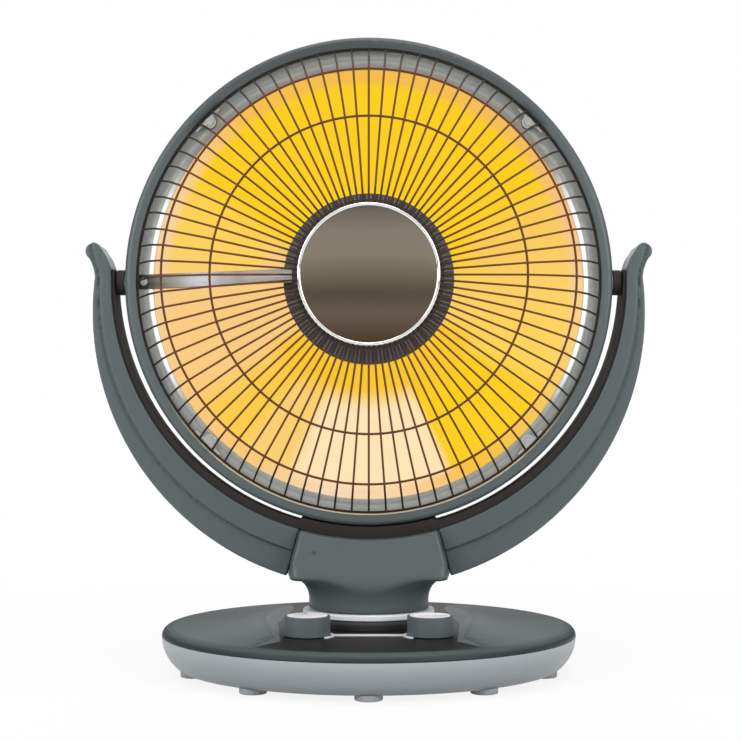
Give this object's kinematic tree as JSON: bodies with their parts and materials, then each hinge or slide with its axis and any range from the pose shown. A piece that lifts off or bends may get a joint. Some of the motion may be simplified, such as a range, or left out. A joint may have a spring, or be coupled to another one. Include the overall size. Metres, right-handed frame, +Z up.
{
  "type": "radiant dish heater",
  "caption": "Table-top radiant heater: a round dish with a domed wire guard tilts in a curved yoke that swings on a round weighted base with control knobs.",
  "frame": {"origin": "centre of the base on the surface it stands on", "axes": "+Z up along the swivel axis, +X to the right of the front view, +Y towards the back; the guard faces -Y"},
  "size_m": [0.4412, 0.325, 0.4942],
  "materials": {
    "pan_plastic": "silver-grey painted ABS, satin",
    "cover_plastic": "dark grey ABS, semi-gloss",
    "foot_rubber": "grey rubber",
    "zinc_screws": "bright zinc",
    "plinth_plastic": "black ABS",
    "collar_plastic": "pale grey ABS",
    "steel": "plain steel",
    "acetal": "natural acetal",
    "control_body": "black phenolic",
    "gland_rubber": "black rubber",
    "terminal_plastic": "white nylon",
    "ballast_iron": "raw plate",
    "knob_plastic": "dark grey ABS",
    "cap_plastic": "white ABS",
    "yoke_plastic": "dark grey moulded ABS, satin",
    "liner_plastic": "black moulded plastic",
    "motor_steel": "plated can",
    "hoop_plastic": "dark grey moulded ABS, satin",
    "housing_plastic": "dark grey heat-resistant plastic, fine grain",
    "reflector_aluminium": "bright spun aluminium, lit warm yellow by the lamp",
    "grille_bronze": "bronze-brown coated wire",
    "clip_steel": "bright steel strip",
    "disc_chrome": "dark chrome",
    "rim_chrome": "bright chrome",
    "shroud_metal": "dark heat-resistant coating",
    "quartz": "clear quartz",
    "tungsten": "glowing coil",
    "ceramic": "steatite ceramic"
  },
  "bodies": {
    "base": {"base_pan": "pan_plastic", "base_cover": "cover_plastic", "feet": "foot_rubber", "base_screws": "zinc_screws", "plinth": "plinth_plastic", "collar_ring": "collar_plastic", "deck_trim": "collar_plastic", "swivel_post": "steel", "thrust_washer": "acetal", "retaining_clip": "steel", "slotted_arm": "steel", "timer_module": "control_body", "power_switch": "control_body", "tip_switch_housing": "control_body", "tip_spring": "steel", "cord_gland": "gland_rubber", "terminal_block": "terminal_plastic", "ballast_plate": "ballast_iron"},
    "tip_plunger": {"tip_plunger": "acetal"},
    "timer_control": {"timer_knob": "knob_plastic", "timer_knob_cap": "cap_plastic", "timer_shaft": "steel"},
    "power_control": {"power_knob": "knob_plastic", "power_knob_cap": "cap_plastic", "power_shaft": "steel"},
    "yoke": {"neck_front": "yoke_plastic", "neck_rear": "yoke_plastic", "neck_floor": "steel", "swivel_bush": "acetal", "yoke_screws": "zinc_screws", "yoke_arm_left": "yoke_plastic", "yoke_arm_right": "yoke_plastic", "arm_cover_left": "yoke_plastic", "arm_cover_right": "yoke_plastic", "yoke_liner": "liner_plastic", "pivot_bushes": "liner_plastic", "pivot_pins": "steel", "pivot_nuts": "steel", "swing_motor": "motor_steel"},
    "crank": {"motor_shaft": "steel", "crank_disc": "acetal"},
    "head": {"friction_washers": "acetal", "front_ring": "hoop_plastic", "rear_housing": "housing_plastic", "reflector": "reflector_aluminium", "grille_wires": "grille_bronze", "grille_rings": "grille_bronze", "grille_hub": "steel", "guard_clips": "clip_steel", "head_screws": "zinc_screws", "centre_disc": "disc_chrome", "disc_rim": "rim_chrome", "hub_shroud": "shroud_metal", "halogen_tube": "quartz", "filament": "tungsten", "tube_end_caps": "ceramic", "lamp_bracket": "steel", "wire_conduit": "clip_steel", "thermal_cutout": "control_body"}
  },
  "joints": [
    {"name": "oscillate", "type": "hinge", "parent": "base", "child": "yoke", "pos_m": [0, 0, 0.05], "axis": [0, 0, 1], "range_deg": [-35, 35]},
    {"name": "tilt", "type": "hinge", "parent": "yoke", "child": "head", "pos_m": [0, -0.01, 0.3042], "axis": [1, 0, 0], "range_deg": [-20, 15]},
    {"name": "timer_turn", "type": "hinge", "parent": "base", "child": "timer_control", "pos_m": [-0.0455, -0.074, 0.04], "axis": [0, 0, -1], "range_deg": [0, 300]},
    {"name": "power_turn", "type": "hinge", "parent": "base", "child": "power_control", "pos_m": [0.0455, -0.074, 0.04], "axis": [0, 0, -1], "range_deg": [0, 270]},
    {"name": "tip_switch_travel", "type": "slide", "parent": "base", "child": "tip_plunger", "axis": [0, 0, 1], "range_m": [-0.004, 0], "stiffness_N_per_m": 120, "springref_m": -0.006, "deforming": ["tip_spring"]},
    {"name": "crank_turn", "type": "hinge", "parent": "yoke", "child": "crank", "pos_m": [0, 0.01428, 0.065], "axis": [0, 0, 1], "range_deg": [-92, 92]}
  ],
  "couplings": [
    {"joint": "crank_turn", "follows": "oscillate", "ratio": -2.5714}
  ]
}
